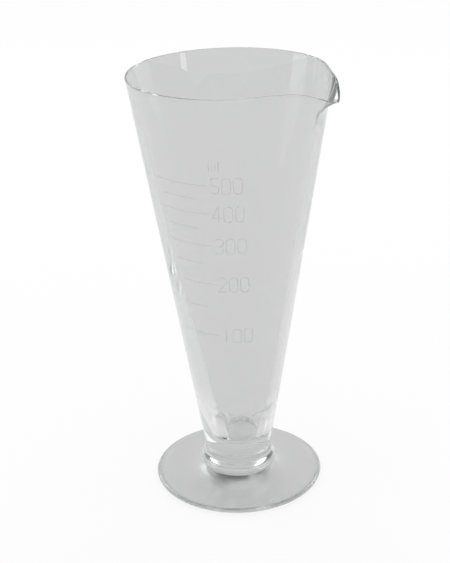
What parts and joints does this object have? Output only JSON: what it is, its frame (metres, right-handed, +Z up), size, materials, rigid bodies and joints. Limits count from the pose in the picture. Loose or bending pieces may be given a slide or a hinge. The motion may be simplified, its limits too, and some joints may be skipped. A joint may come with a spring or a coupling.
{
  "type": "conical glass measure",
  "caption": "Conical glass measure with a pouring lip, graduation lines and numerals, on a beaded stem and a round foot.",
  "frame": {"origin": "centre of the foot's underside, on the vessel's axis", "axes": "+Z up along the vessel's axis, +X toward the tip of the pouring lip, with the lines and numerals on the side that faces -Y"},
  "size_m": [0.1228, 0.1124, 0.248],
  "materials": {
    "foot_glass": "clear, smooth",
    "knop_glass": "clear, smooth",
    "bowl_glass": "clear, smooth",
    "mark": "frosted"
  },
  "bodies": {
    "root": {"foot": "foot_glass", "knop": "knop_glass", "bowl": "bowl_glass", "line_100": "mark", "line_150": "mark", "line_200": "mark", "line_250": "mark", "line_300": "mark", "line_350": "mark", "line_400": "mark", "line_450": "mark", "line_500": "mark", "numeral_100": "mark", "numeral_200": "mark", "numeral_300": "mark", "numeral_400": "mark", "numeral_500": "mark", "unit_mark": "mark"}
  },
  "joints": []
}
